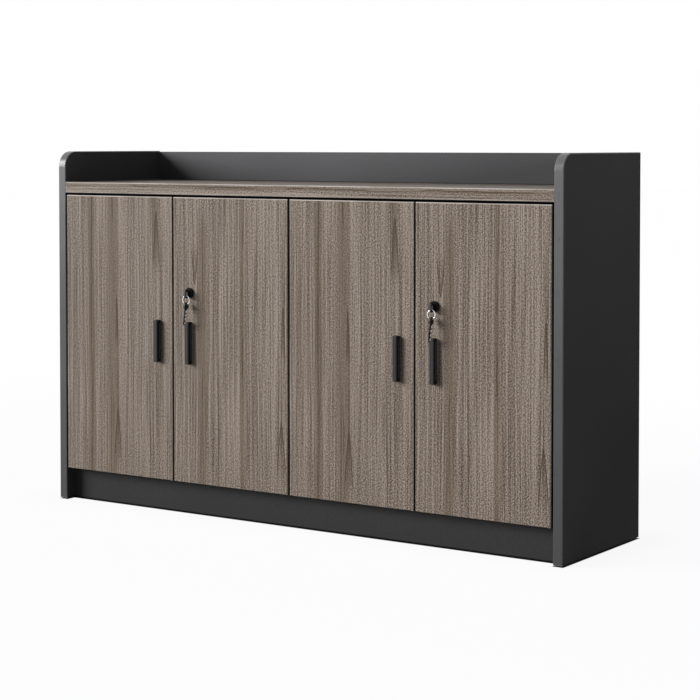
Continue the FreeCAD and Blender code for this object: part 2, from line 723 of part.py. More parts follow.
def lock_cam(door):
    """Long flat tongue on the plug's tail, hanging down while the door is unlocked."""
    x = door.handle
    y = (LOCK_BODY_DEEP + PLUG_PROUD + TAIL_PLAY, LOCK_BODY_DEEP + PLUG_PROUD + TAIL_PLAY + TONGUE_THICK)
    z = (LOCK_Z - TONGUE_LENGTH, LOCK_Z + TONGUE_HALF)
    tongue = plate("XZ", (x - TONGUE_HALF, x + TONGUE_HALF), z, TONGUE_ROUND, *y)
    return tongue.cut(square_bar(x, TAIL_HALF + TAIL_PLAY, y))


def lock_cam_screw(door):
    seat = (door.handle, LOCK_BODY_DEEP + PLUG_PROUD + TAIL_PLAY + TONGUE_THICK, LOCK_Z)
    return screw(seat, (0, -1, 0), TONGUE_SCREW_BITE, TONGUE_SCREW, TONGUE_SCREW_HEAD)


def key_cuts(blade, places):
    """Cuts a row of notches into a key blade, deep and shallow by turns."""
    for i, (x, y, z) in enumerate(places):
        size = CUT_RADIUS * (0.6 if i % 2 else 1.0)
        blade = blade.cut(rod(size, (x - BLADE_THICK, y, z), (x + BLADE_THICK, y, z)))
    return blade


def key_blade(door):
    """The blade of the key that stands in the lock, with its cuts below."""
    x = door.handle
    half = BLADE_THICK / 2
    low, high = LOCK_Z - BLADE_HALF, LOCK_Z + BLADE_HALF
    corners = (
        (-KEY_HEAD_NEAR, low, 0),
        (BLADE_DEEP - BLADE_POINT, low, 0),
        (BLADE_DEEP, LOCK_Z, 0.5),
        (BLADE_DEEP - BLADE_POINT, high, 0),
        (-KEY_HEAD_NEAR, high, 0),
    )
    blade = prism("YZ", corners, x - half, x + half)
    return key_cuts(blade, [(x, step * CUT_PITCH, low - CUT_RISE) for step in range(4)])


def key_head(door):
    """Moulded head with a long eye for the ring."""
    x = door.handle
    half = KEY_HEAD_THICK / 2
    z = (LOCK_Z - KEY_HEAD_LOW, LOCK_Z + KEY_HEAD_HIGH)
    head = plate("YZ", (-KEY_HEAD_FAR, -KEY_HEAD_NEAR), z, KEY_HEAD_ROUND, x - half, x + half)
    eye_y = (-RING_REACH - EYE_HALF, -RING_REACH + EYE_HALF)
    eye_z = (RING_TOP - RING_WIRE - RING_PLAY, LOCK_Z + EYE_RISE)
    return head.cut(plate("YZ", eye_y, eye_z, EYE_ROUND, x - half, x + half))


def key_ring(door):
    """Wire ring that hangs in the eye of the key's head."""
    centre = Vector(door.handle, -RING_REACH, RING_TOP - RING_RADIUS)
    return Part.makeTorus(RING_RADIUS, RING_WIRE, centre, Vector(0, 1, 0))


def lean(shape):
    """Tips a spare key's piece forward on the ring, as it hangs over the top of the pull."""
    return shape.rotate(Vector(0, -RING_REACH, RING_BOTTOM), Vector(1, 0, 0), -SPARE_LEAN)


def spare_disc(door):
    """The round head of the second key before its eye is cut."""
    half = KEY_HEAD_THICK / 2
    middle = RING_BOTTOM - SPARE_HEAD_DROP
    left = (door.handle - half, -RING_REACH, middle)
    return rod(SPARE_HEAD, left, (door.handle + half, -RING_REACH, middle))


def spare_head(door):
    """Head of the second key, threaded on the bottom of the ring."""
    half = KEY_HEAD_THICK / 2
    middle = RING_BOTTOM - SPARE_EYE + RING_WIRE + RING_PLAY
    left = (door.handle - half, -RING_REACH, middle)
    eye = rod(SPARE_EYE, left, (door.handle + half, -RING_REACH, middle))
    return lean(spare_disc(door).cut(eye))


def spare_blade(door):
    """Blade of the second key, pointing down from its head, with its cuts towards the door."""
    x = door.handle
    half = BLADE_THICK / 2
    top = RING_BOTTOM - SPARE_HEAD_DROP - SPARE_HEAD / 2
    tip = RING_BOTTOM - SPARE_LENGTH
    front, rear = -RING_REACH - SPARE_BLADE_HALF, -RING_REACH + SPARE_BLADE_HALF
    corners = (
        (front, top, 0),
        (front, tip + BLADE_POINT, 0),
        (-RING_REACH, tip, 0.5),
        (rear, tip + BLADE_POINT, 0),
        (rear, top, 0),
    )
    blade = prism("YZ", corners, x - half, x + half).cut(spare_disc(door))
    first = tip + 2 * BLADE_POINT
    return lean(key_cuts(blade, [(x, rear + CUT_RISE, first + step * CUT_PITCH) for step in range(6)]))


def carcass_nodes():
    """Everything that stands still, by node name."""
    drilled = list(cam_holes()) + list(pin_holes())
    for door in DOORS:
        drilled += list(hinge_holes(door))
    back_holes = group(back_screw(x, z, HOLE_PLAY) for x, z in back_screw_places())
    holes = group(drilled + [back_holes])
    cams = list(cam_places())
    hinges = [(door, z) for door in DOORS for z in HINGE_HEIGHTS]
    side_hinges = [pair for pair in hinges if not pair[0].on_partition]
    middle_hinges = [pair for pair in hinges if pair[0].on_partition]
    return {
        "left_side_panel": side_panel(-1, holes),
        "right_side_panel": side_panel(1, holes),
        "left_edge_band": edge_band(-1),
        "right_edge_band": edge_band(1),
        "worktop": worktop(holes),
        "floor_panel": floor_panel(holes),
        "centre_partition": centre_partition(holes),
        "back_panel": back_panel(back_holes),
        "plinth_board": plinth(PLINTH_FRONT),
        "rear_plinth_rail": plinth(INNER_BACK - BOARD),
        "left_shelf": shelf(-1),
        "right_shelf": shelf(1),
        "shelf_pins": group(shelf_pin(x, way, y) for x, way in shelf_walls() for y in PIN_ROWS),
        "floor_glides": group(glide(x, y) for x, y in glide_places()),
        "door_buffers": group(door_buffer(door) for door in DOORS),
        "cam_fittings": group(cam_fitting(*place) for place in cams),
        "cam_bolts": group(cam_bolt(*place) for place in cams),
        "back_screws": group(back_screw(x, z) for x, z in back_screw_places()),
        "side_hinge_arms": group(d.place(hinge_arm(d, z)) for d, z in side_hinges),
        "partition_hinge_arms": group(d.place(hinge_arm(d, z)) for d, z in middle_hinges),
        "hinge_plates": group(d.place(hinge_plate(d, z)) for d, z in hinges),
        "hinge_screws": group(d.place(s) for d in DOORS for s in hinge_screw_set(d)),
    }


def door_nodes(door):
    """One door with the pieces that are fixed to it, by node name."""
    nodes = {
        door.name: door_panel(door),
        door.name + "_handle": handle(door),
        door.name + "_hinge_cups": group(hinge_cup(z) for z in HINGE_HEIGHTS),
        door.name + "_screws": group(door_screws(door)),
    }
    if not door.locked:
        nodes[door.name + "_strike"] = strike(door)
    return {name: door.place(shape) for name, shape in nodes.items()}


def lock_nodes(name, door):
    """One lock with its keys, by node name."""
    makers = {
        "housing": lock_housing,
        "nut": lock_nut,
        "plug": lock_plug,
        "cam": lock_cam,
        "cam_screw": lock_cam_screw,
        "key_blade": key_blade,
        "key_head": key_head,
        "key_ring": key_ring,
        "spare_key_head": spare_head,
        "spare_key_blade": spare_blade,
    }
    return {name + "_" + piece: door.place(make(door)) for piece, make in makers.items()}


def main():
    nodes = carcass_nodes()
    for door in DOORS:
        nodes.update(door_nodes(door))
    nodes.update(lock_nodes("left_lock", DOORS[1]))
    nodes.update(lock_nodes("right_lock", DOORS[3]))
    os.makedirs("parts", exist_ok=True)
    for name, shape in nodes.items():
        if not shape.isValid():
            raise ValueError(name + " is not a valid shape")
        shape.exportStep(os.path.join("parts", name + ".step"))
    print(len(nodes), "nodes written")


main()
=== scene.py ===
import math
from typing import NamedTuple

import bpy
from mathutils import Matrix, Vector


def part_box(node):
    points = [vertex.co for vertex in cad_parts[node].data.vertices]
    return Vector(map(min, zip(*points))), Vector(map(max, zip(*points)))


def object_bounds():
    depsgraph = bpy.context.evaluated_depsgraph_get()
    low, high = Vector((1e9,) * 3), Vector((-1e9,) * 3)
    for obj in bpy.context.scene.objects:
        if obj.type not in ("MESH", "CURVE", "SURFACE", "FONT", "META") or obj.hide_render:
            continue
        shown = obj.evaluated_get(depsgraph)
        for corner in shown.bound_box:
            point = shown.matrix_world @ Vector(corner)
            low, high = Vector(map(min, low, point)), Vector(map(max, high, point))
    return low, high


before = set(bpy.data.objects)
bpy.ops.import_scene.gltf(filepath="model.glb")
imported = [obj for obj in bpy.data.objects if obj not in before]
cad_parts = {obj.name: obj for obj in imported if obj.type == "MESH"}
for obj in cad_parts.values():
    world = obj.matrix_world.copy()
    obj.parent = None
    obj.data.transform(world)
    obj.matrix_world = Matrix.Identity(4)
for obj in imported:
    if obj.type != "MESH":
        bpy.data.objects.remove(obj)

CAD_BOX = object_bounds()

bl_info = {
    "name": "Gallery cupboard finishes",
    "version": (1, 0, 0),
    "blender": (4, 5, 0),
    "location": "View3D > Sidebar > Cupboard",
    "description": "Gives a low four-door office cupboard its laminate, board, metal and stage",
    "category": "Material",
}

DOORS = ("door_1", "door_2", "door_3", "door_4")
LOCKS = ("left_lock", "right_lock")
SIDES = ("left_side_panel", "right_side_panel")
BOARDS = (*SIDES, "floor_panel", "centre_partition", "left_shelf", "right_shelf")
PLINTHS = ("plinth_board", "rear_plinth_rail")
EDGE_BANDS = ("left_edge_band", "right_edge_band")
STRIKES = ("door_1_strike", "door_3_strike")
STEEL_FITTINGS = (
    "shelf_pins", "cam_fittings", "cam_bolts", "back_screws", "hinge_screws",
    "side_hinge_arms", "partition_hinge_arms", "hinge_plates",
)
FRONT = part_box("worktop")[0].y


class Band(NamedTuple):
    """Dark band of late wood in metres on a sheet, past the sheet's ends unless they are given."""
    middle: float
    width: float
    low: float = -0.1
    high: float = 1.5


class Flame(NamedTuple):
    """Pointed arch of the grain in metres on a sheet, with a negative height where it points down."""
    middle: float
    foot: float
    width: float
    height: float


class Sheet(NamedTuple):
    """Figure of one laminate sheet, counted from the lower left corner of its board."""
    seed: float
    bands: tuple
    flames: tuple


class Layer(NamedTuple):
    """Noise in cells per metre, how far it swings each trait of a finish, and its detail and grit."""
    cells: tuple
    tone: float = 0.0
    roughness: float = 0.0
    relief: float = 0.0
    bend: float = 0.0
    detail: float = 2.0
    grit: float = 0.5


class Wear(NamedTuple):
    """Rubbed edges, on the edge bands also a painted highlight: width in metres, noise values where
    wear begins and is full, and strength.
    """
    width: float
    patch_edges: tuple
    strength: float


class Mottle(NamedTuple):
    """Plain surface with a fine texture of a depth in metres, and patches of another tint."""
    fine: Layer
    patches: Layer
    patch_edges: tuple
    patch_tint: float
    depth: float


def even(cells):
    """The same number of noise cells per metre along every axis."""
    return (cells, cells, cells)


# Two laminate sheets that take turns on the doors, and the sheet of the worktop
SHEETS = (
    Sheet(
        seed=3.0,
        bands=(Band(0.080, 0.034), Band(0.148, 0.050), Band(0.281, 0.022, low=0.52)),
        flames=(
            Flame(0.163, 0.020, 0.024, 0.140), Flame(0.160, 0.310, 0.009, 0.120),
            Flame(0.285, 0.500, 0.020, 0.140))),
    Sheet(
        seed=7.4,
        bands=(Band(0.204, 0.024), Band(0.086, 0.036, high=0.62)),
        flames=(
            Flame(0.316, 0.030, 0.026, 0.135), Flame(0.064, 0.560, 0.020, -0.090),
            Flame(0.320, 0.300, 0.010, 0.130))),
)
TOP_SHEET = Sheet(
    seed=11.0,
    bands=(Band(0.020, 0.012), Band(0.120, 0.050), Band(0.260, 0.060)),
    flames=(Flame(0.120, 0.300, 0.030, 0.400),))

# Laminate from wide to fine, with cells across, through and along the grain
CLOUD = Layer((22.0, 1.0, 0.4), tone=0.45)
STRIPE = Layer((80.0, 1.0, 0.5), tone=0.6, roughness=0.1)
STREAK = Layer((230.0, 1.0, 1.5), tone=0.9)
FIBRE = Layer((400.0, 1.0, 3.5), tone=1.7, roughness=0.12, relief=0.8)
SPECKLE = Layer((255.0, 1.0, 232.0), tone=3.6, relief=0.5, grit=0.7)

# Middle of the laminate's tone, where 0 is the dark grain and 1 the light one
DOOR_TONE = 0.46
# Doors get this much paler a metre higher up: painted light
DOOR_PAINTED_LIGHT_PER_METRE = 0.1
TOP_TONE = 0.57

# Bends of grain and veins and the veins' width in metres, and noise values where veins break off
DRIFT = Layer((7.0, 1.0, 2.0), bend=0.012, grit=0.45)
WANDER = Layer((20.0, 1.0, 11.0), bend=0.012)
VEIN_WIDTH = 0.0036
VEIN_BREAKS = Layer((9.0, 1.0, 7.0))
VEIN_BREAK_EDGES = (0.44, 0.56)
VEIN_STRENGTH = 0.85
VEIN_RELIEF = -0.5
BAND_FADE = 0.05
BAND_STRENGTH = 0.5

# Flames: taper, soft edge of their lines in metres, lines as shares of the width with their strength
FLAME_TAPER = 0.8
FLAME_LINE_EDGES = (0.0006, 0.0021)
FLAME_LINES = ((1.0, 1.0), (0.45, 0.6))
FLAME_CORE = 0.15
FLAME_TIP = 0.45
FLAME_TIP_CLIMB = (0.45, 0.85)
FLAME_FOOT_CLIMB = (-0.1, 0.3)

# Rims of doors and worktop: which way a face looks to count as one for the painted shade on the
# doors' edges and the worktop's underside and top, and the painted highlight lines in metres
DOOR_RIM_FACING = (0.25, 0.5)
UNDERSIDE_FACING = (-0.3, -0.5)
TOP_FACING = (0.8, 0.95)
# Share of painted shade darkening the worktop's top
TOP_SHADE = 0.42
FRONT_FACING = (-0.35, -0.6)
TOP_LINE = (0.0026, 0.0016)
LOW_LINE = (0.0018, 0.0026)
LOW_LINE_END = (0.0042, 0.0050)
LOW_LINE_STRENGTH = 0.4
# Least strength of the painted highlight lines, where the veins break off
LEAST_HIGHLIGHT = 0.6

# Melamine: its layers, the painted shade line's place and width in metres, and the painted shade that
# darkens the back towards its right
PEARL = Layer(even(900.0), roughness=0.1, relief=1.0, grit=0.6)
FLECK = Layer(even(260.0), tone=0.5, detail=3.0, grit=0.7)
BOARD_CLOUD = Layer(even(5.0), tone=0.3, roughness=0.18, detail=3.0)
FLOOR_SHADE_LINE = 0.003
SHADE_LINE_ABOVE = 0.003
SHADE_LINE_BELOW = (0.008, 0.005)
SHADE_LINE_FACING = (0.5, 0.0)
SHADE_LINE_STRENGTH = 0.8
RIGHT_SHADE_SPAN = (-0.3, 0.8)
BACK_RIGHT_SHADE = 0.6
BACK_MARGIN = 0.04

# Edge bands and black coats, with the depth of their texture in metres
BAND_LINES = Layer((1500.0, 1.0, 1.0), roughness=0.06, relief=1.0)
BAND_CLOUD = Layer(even(18.0), tone=0.15, roughness=0.1, detail=3.0)
# The edge bands' pale rims: wear in patches and a painted highlight on their rounded edges
BAND_RUB_AND_HIGHLIGHT = Wear(0.0018, (0.15, 0.45), 0.8)
BAND_RUB_AND_HIGHLIGHT_TINT = 1.5
BAND_DEPTH = 0.00004
COAT_GRIT = Layer(even(1400.0), roughness=0.1, relief=1.0)
COAT_CLOUD = Layer(even(60.0), roughness=0.2, detail=3.0)
COAT_WEAR = Wear(0.0009, (0.35, 0.65), 0.7)
COAT_DEPTH = 0.00005

# How far the normals near a point part from its own where it counts as an edge
EDGE_BEND = (0.01, 0.12)
EDGE_SAMPLES = 6

# Keys: scratches, and in metres the bare flank of the cuts and the pitch of its marks
SCRATCHES = Layer((2600.0, 400.0, 300.0), roughness=0.16, relief=1.0, bend=0.0006)
SCRATCH_DEPTH = 0.00001
FLANK_EDGES = (-0.0006, 0.0002)
MARK_PITCH = 0.009
MARK_EDGES = (-0.5, 0.1)
FILED_ROUGHER = 0.66

# Plain metals and plastics
STEEL = Mottle(
    fine=Layer((1200.0, 120.0, 1200.0), roughness=0.12, relief=1.0),
    patches=Layer(even(90.0), roughness=0.2, detail=3.0),
    patch_edges=(0.4, 0.65), patch_tint=0.82, depth=0.00002)
NICKEL = Mottle(
    fine=SCRATCHES, patches=Layer(even(150.0), roughness=0.1),
    patch_edges=(0.45, 0.7), patch_tint=0.86, depth=SCRATCH_DEPTH)
PLASTIC = Mottle(
    fine=Layer(even(1800.0), roughness=0.1, relief=1.0),
    patches=Layer(even(120.0), roughness=0.15),
    patch_edges=(0.35, 0.75), patch_tint=1.3, depth=0.00004)

# Floor in metres: half its side, and margin and softness of each zone round the boards, the first
# being a painted contact shadow
FLOOR_HALF = 30.0
CONTACT_SHADOW_ZONE = (0.004, 0.003)
HALO_ZONE = (0.12, 0.12)
NEAR_ZONE = (2.4, 2.0)

# Share of the lit floor that shows through its white: anywhere, at the boards' feet, near the part
LIT_SHARE = 0.01
HALO_SHARE = 0.025
NEAR_SHARE = 0.045

# Floor's faint mottling, and the white of the background
FLOOR_MOTTLING = Layer(even(3.0))
FLOOR_TINT = 1.03
WHITE = (1.0, 1.0, 1.0, 1.0)


def srgb_to_linear(colour):
    """A display colour as the linear value that a shader socket takes."""
    linear = [c / 12.92 if c <= 0.04045 else ((c + 0.055) / 1.055) ** 2.4 for c in colour[:3]]
    return (*linear, 1.0)


def tint(colour, factor):
    """A display colour made paler or darker."""
    return [min(1.0, c * factor) for c in colour]


def colour_setting(label, words, red, green, blue):
    """A display colour, written with whole numbers up to 255."""
    return bpy.props.FloatVectorProperty(
        name=label, description=words, subtype="COLOR_GAMMA", size=3, min=0.0, max=1.0,
        default=(red / 255, green / 255, blue / 255))


def share_setting(label, words, default):
    """A share from 0 to 1."""
    return bpy.props.FloatProperty(
        name=label, description=words, subtype="FACTOR", default=default, min=0.0, max=1.0)


def length_setting(label, words, default):
    """A length in metres."""
    return bpy.props.FloatProperty(
        name=label, description=words, unit="LENGTH", default=default, min=0.0, precision=5)


def angle_setting(label, words, degrees):
    """An angle, written in degrees."""
    return bpy.props.FloatProperty(
        name=label, description=words, subtype="ANGLE", default=math.radians(degrees))


def level_setting(label, words, default, least=0.0):
    """A plain factor."""
    return bpy.props.FloatProperty(name=label, description=words, default=default, min=least)


class LaminateSettings(bpy.types.PropertyGroup):
    """Grain of the doors and the worktop."""
    light: colour_setting("Light grain", "Palest stripes of the laminate", 177, 164, 152)
    middle: colour_setting("Middle grain", "Main tone of the laminate", 127, 114, 103)
    dark: colour_setting("Dark grain", "Darkest stripes of the laminate", 70, 58, 48)
    band: colour_setting("Dark band", "Brown bands of late wood", 94, 77, 60)
    vein: colour_setting("Vein", "Thin dark lines that run round the figure", 66, 50, 35)
    # Door edge colour is painted shade on the doors' edges, the worktop's underside and, faintly, its
    # top
    edge: colour_setting("Door edge", "Dark strip on the doors' edges", 26, 24, 22)
    # Rubbed edge colour is a painted highlight along the doors' top rims and on the worktop's front
    wear_and_highlight: colour_setting("Rubbed edge", "Pale rims of the doors and the worktop", 214, 206, 198)
    roughness: share_setting("Roughness", "How matt the doors are", 0.54)
    top_roughness: share_setting("Top roughness", "How matt the worktop is", 0.5)
    gloss: share_setting("Gloss", "How much the laminate mirrors", 0.16)
    pore_depth: length_setting("Pore depth", "Depth of the pressed grain", 0.00018)


class BoardSettings(bpy.types.PropertyGroup):
    """Charcoal boards and the strips on their edges."""
    board: colour_setting("Board", "Charcoal of the melamine face", 79, 79, 80)
    back: colour_setting("Back", "Thin back panel, a little paler than the boards", 93, 93, 95)
    # The plinth's darker colour is painted shade for its recess under the doors
    plinth: colour_setting("Plinth", "Plinth, a little darker than the boards", 68, 68, 69)
    # Seam colour is painted shade: a dark line at the boards' feet and on the back where it meets the
    # worktop
    seam: colour_setting("Seam", "Boards' lowest edge and the back's line at the worktop", 8, 8, 8)
    # Edge band colours: darker near the floor and paler at the top, as painted shade and painted
    # light
    band: colour_setting("Edge band", "Strip on the sides' edges, near the floor", 60, 60, 61)
    band_middle: colour_setting("Edge band middle", "The strip at half its height", 79, 79, 80)
    band_lit_top: colour_setting("Edge band top", "The strip where hands polish it", 105, 105, 107)
    # Fleck pales flecks and, as painted light, the boards' tops
    fleck_and_painted_light: level_setting("Fleck", "How much paler flecks and the boards' tops are", 1.22, 1.0)
    roughness: share_setting("Roughness", "How matt the melamine is", 0.6)
    gloss: share_setting("Gloss", "How much the melamine mirrors", 0.05)
    band_roughness: share_setting("Edge band roughness", "How matt the strips are", 0.29)
    band_gloss: share_setting("Edge band gloss", "How much the strips mirror", 0.42)
    texture_depth: length_setting("Texture depth", "Depth of the pearl texture", 0.00008)


class FittingSettings(bpy.types.PropertyGroup):
    """Pulls, locks, keys and hinges."""
    black: colour_setting("Black coat", "Powder coat of pulls", 20, 20, 21)
    worn_and_highlight: colour_setting("Worn black", "Paler coat along edges that hands touch", 44, 44, 44)
    steel: colour_setting("Steel", "Plated steel of hinges and screws", 176, 176, 174)
    lock: colour_setting("Lock black", "Lacquer of lock faces and plugs", 7, 7, 7)
    lock_worn: colour_setting("Worn lock black", "Paler lacquer along the edges", 30, 30, 30)
    bright: colour_setting("Bright nickel", "Key blades, rings and filed cuts", 246, 245, 241)
    # Dark steel colour is a painted dark reflection on the spare keys
    dark_reflection_steel: colour_setting("Dark steel", "Spare keys, apart from their cuts", 26, 26, 27)
    plastic: colour_setting("Black plastic", "Key heads, glides and strike pads", 12, 12, 13)
    buffer: colour_setting("Buffer", "Soft door buffers", 120, 120, 118)
    coat_roughness: share_setting("Coat roughness", "How matt pulls and locks are", 0.44)
    pull_gloss: share_setting("Pull gloss", "How much the pulls' coat mirrors", 0.3)
    lock_gloss: share_setting("Lock gloss", "How much the locks' lacquer mirrors", 0.08)
    steel_roughness: share_setting("Steel roughness", "How dull the steel is", 0.34)
    nickel_roughness: share_setting("Nickel roughness", "How dull the nickel is", 0.18)
    spare_roughness: share_setting("Spare key roughness", "How dull the spare keys are", 0.26)
    plastic_roughness: share_setting("Plastic roughness", "How matt the plastic is", 0.45)
    buffer_roughness: share_setting("Buffer roughness", "How matt the buffers are", 0.62)
    spare_lean: angle_setting("Spare key lean", "How far spare keys lean out from the doors", 10.0)


class StageSettings(bpy.types.PropertyGroup):
    """Camera, floor and light."""
    camera_place: bpy.props.FloatVectorProperty(
        name="Camera place", description="Camera in the part's frame", subtype="XYZ",
        unit="LENGTH", size=3, default=(2.5586, FRONT - 3.5216, 0.8793))
    camera_turn: angle_setting("Camera turn", "Angle round the part from straight ahead", 34.165)
    camera_tilt: angle_setting("Camera tilt", "How far the camera looks down", 2.0)
    lens: bpy.props.FloatProperty(
        name="Lens", description="Focal length", unit="CAMERA", default=98.88, min=1.0)
    shift: bpy.props.FloatProperty(
        name="Shift", description="Vertical shift that sets the part's height in the picture",
        default=-0.1991)
    key_turn: angle_setting("Key turn", "Softbox's angle to the left of straight ahead", 55.0)
    key_height: angle_setting("Key height", "Softbox's angle above the horizon", 18.5)
    key_distance: length_setting("Key distance", "From the part's middle to the softbox", 60.0)
    key_size: length_setting("Key size", "Side of the square softbox", 28.0)
    key_level: level_setting("Key level", "1 shows a facing white surface as white", 1.33)
    ambient_level: level_setting("Ambient level", "Light that comes from all round", 0.08)
    floor: colour_setting("Floor", "Pale studio floor, as light bounces off it", 170, 170, 170)
    shown_floor: colour_setting("Shown floor", "The lit floor as it is seen", 255, 255, 255)
    # Contact colour is a painted contact shadow on the floor under and just round the boards
    contact_shadow: colour_setting("Contact", "Floor right under the boards", 4, 4, 4)
    floor_roughness: share_setting("Floor roughness", "How matt the floor is", 0.8)


SETTINGS = {
    "cupboard_laminate": LaminateSettings,
    "cupboard_board": BoardSettings,
    "cupboard_fittings": FittingSettings,
    "cupboard_stage": StageSettings,
}


class Nodes:
    """An emptied node tree, with short calls to add nodes and join them."""

    def __init__(self, tree):
        self.tree = tree
        tree.nodes.clear()

    def add(self, kind, **settings):
        node = self.tree.nodes.new(kind)
        for key, value in settings.items():
            setattr(node, key, value)
        return node

    def add_with(self, kind, values, **settings):
        """A node with values or sockets on its first inputs."""
        node = self.add(kind, **settings)
        for socket, value in zip(node.inputs, values):
            self.feed(socket, value)
        return node

    def join(self, source, target):
        self.tree.links.new(source, target)

    def feed(self, socket, value):
        """Joins a socket to a socket, or sets a plain value on it."""
        if isinstance(value, bpy.types.NodeSocket):
            self.join(value, socket)
        else:
            socket.default_value = value

    def math(self, operation, *values, clamp=False):
        node = self.add_with("ShaderNodeMath", values, operation=operation)
        node.use_clamp = clamp
        return node.outputs["Value"]

    def seen(self):
        """1 for the camera, reflections and glass, 0 where light only bounces."""
        path = self.add("ShaderNodeLightPath")
        direct = self.math(
            "MAXIMUM", path.outputs["Is Camera Ray"], path.outputs["Is Glossy Ray"])
        return self.math("MAXIMUM", direct, path.outputs["Is Transmission Ray"])


class Finish(Nodes):
    """One material with its shader and output. Plain colours are display colours."""

    def __init__(self, name):
        self.material = bpy.data.materials.new(name)
        self.material.use_nodes = True
        super().__init__(self.material.node_tree)
        self.shader = self.add("ShaderNodeBsdfPrincipled")
        self.output = self.add("ShaderNodeOutputMaterial")
        self.join(self.shader.outputs["BSDF"], self.output.inputs["Surface"])

    def place(self, origin=(0, 0, 0)):
        """The piece's own coordinates, counted from an origin in metres."""
        coords = self.add("ShaderNodeTexCoord").outputs["Object"]
        mapping = self.add("ShaderNodeMapping", vector_type="POINT")
        mapping.inputs["Location"].default_value = [-v for v in origin]
        self.join(coords, mapping.inputs["Vector"])
        return mapping.outputs["Vector"]

    def facing(self):
        """The way the surface looks, as parts along X, Y and Z."""
        return self.split(self.add("ShaderNodeTexCoord").outputs["Normal"])

    def split(self, vector):
        return self.add_with("ShaderNodeSeparateXYZ", [vector]).outputs

    def combine(self, x, y, z):
        return self.add_with("ShaderNodeCombineXYZ", [x, y, z]).outputs["Vector"]

    def total(self, *values):
        result = values[0]
        for value in values[1:]:
            result = self.math("ADD", result, value)
        return result

    def product(self, *values):
        result = values[0]
        for value in values[1:]:
            result = self.math("MULTIPLY", result, value)
        return result

    def inverse(self, value, clamp=False):
        """1 where a value is 0 and 0 where it is 1."""
        return self.math("SUBTRACT", 1.0, value, clamp=clamp)

    def apart(self, first, second):
        """How far two values are apart."""
        return self.math("ABSOLUTE", self.math("SUBTRACT", first, second))

    def step(self, value, start, end):
        """0 up to the start, 1 from the end and smooth between; the end may be the lower one."""
        node = self.add("ShaderNodeMapRange", interpolation_type="SMOOTHSTEP")
        self.join(value, node.inputs["Value"])
        node.inputs["From Min"].default_value = start
        node.inputs["From Max"].default_value = end
        return node.outputs["Result"]

    def noise(self, vector, layer):
        """A layer's noise, about 0.5."""
        stretched = self.add_with(
            "ShaderNodeVectorMath", [vector, layer.cells], operation="MULTIPLY")
        node = self.add("ShaderNodeTexNoise")
        self.join(stretched.outputs["Vector"], node.inputs["Vector"])
        node.inputs["Scale"].default_value = 1.0
        node.inputs["Detail"].default_value = layer.detail
        node.inputs["Roughness"].default_value = layer.grit
        return node.outputs["Fac"]

    def noises(self, vector, *layers):
        """The noise of each layer."""
        return {layer: self.noise(vector, layer) for layer in layers}

    def vary(self, value, noises, trait):
        """A value with what each layer adds to that trait of the finish, half of it either way."""
        for layer, noise in noises.items():
            amount = getattr(layer, trait)
            if amount:
                swing = self.product(self.math("SUBTRACT", noise, 0.5), amount)
                value = self.math("ADD", value, swing)
        return value

    def ramp(self, value, *stops):
        """Colours at places along a value from 0 to 1."""
        node = self.add("ShaderNodeValToRGB")
        elements = node.color_ramp.elements
        while len(elements) < len(stops):
            elements.new(0.5)
        for element, (at, colour) in zip(elements, stops):
            element.position = at
            element.color = srgb_to_linear(colour)
        self.join(value, node.inputs["Fac"])
        return node.outputs["Color"]

    def blend(self, factor, first, second):
        """The first colour where a factor is 0 and the second where it is 1."""
        node = self.add("ShaderNodeMix", data_type="RGBA")
        self.feed(node.inputs["Factor"], factor)
        sockets = [s for s in node.inputs if s.type == "RGBA"]
        for socket, colour in zip(sockets, (first, second)):
            plain = not isinstance(colour, bpy.types.NodeSocket)
            self.feed(socket, srgb_to_linear(colour) if plain else colour)
        return [s for s in node.outputs if s.type == "RGBA"][0]

    def worn_and_highlight(self, noise, wear):
        """Wear on edges and none on flats, in patches, from the normals near each point; on the edge
        bands it is also a painted highlight.
        """
        soft = self.add("ShaderNodeBevel", samples=EDGE_SAMPLES)
        soft.inputs["Radius"].default_value = wear.width
        plain = self.add("ShaderNodeNewGeometry").outputs["Normal"]
        dot = self.add_with(
            "ShaderNodeVectorMath", [soft.outputs["Normal"], plain], operation="DOT_PRODUCT")
        edge = self.step(self.inverse(dot.outputs["Value"]), *EDGE_BEND)
        return self.product(edge, self.step(noise, *wear.patch_edges), wear.strength)

    def paint(self, colour):
        self.feed(self.shader.inputs["Base Color"], colour)

    def roughen(self, level, noises):
        self.feed(self.shader.inputs["Roughness"], self.vary(level, noises, "roughness"))

    def shine(self, gloss):
        self.shader.inputs["Specular IOR Level"].default_value = gloss

    def make_metal(self):
        self.shader.inputs["Metallic"].default_value = 1.0

    def emboss(self, noises, depth, relief=0.0):
        """Relief with a depth in metres, from a first relief and what the layers add."""
        node = self.add("ShaderNodeBump")
        node.inputs["Strength"].default_value = 1.0
        node.inputs["Distance"].default_value = depth
        self.feed(node.inputs["Height"], self.vary(relief, noises, "relief"))
        self.join(node.outputs["Normal"], self.shader.inputs["Normal"])

    def put_on(self, *nodes):
        """The material in every slot of some CAD nodes."""
        for name in nodes:
            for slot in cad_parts[name].material_slots:
                slot.material = self.material


def dark_band(look, across, run, band):
    """1 along the middle quarter of a band, falling to 0 at half its width and past both ends."""
    distance = look.apart(across, band.middle)
    side = look.inverse(look.step(distance, band.width / 8, band.width / 2))
    begun = look.step(run, band.low - BAND_FADE, band.low + BAND_FADE)
    ended = look.step(run, band.high - BAND_FADE, band.high + BAND_FADE)
    return look.product(side, look.math("SUBTRACT", begun, ended))


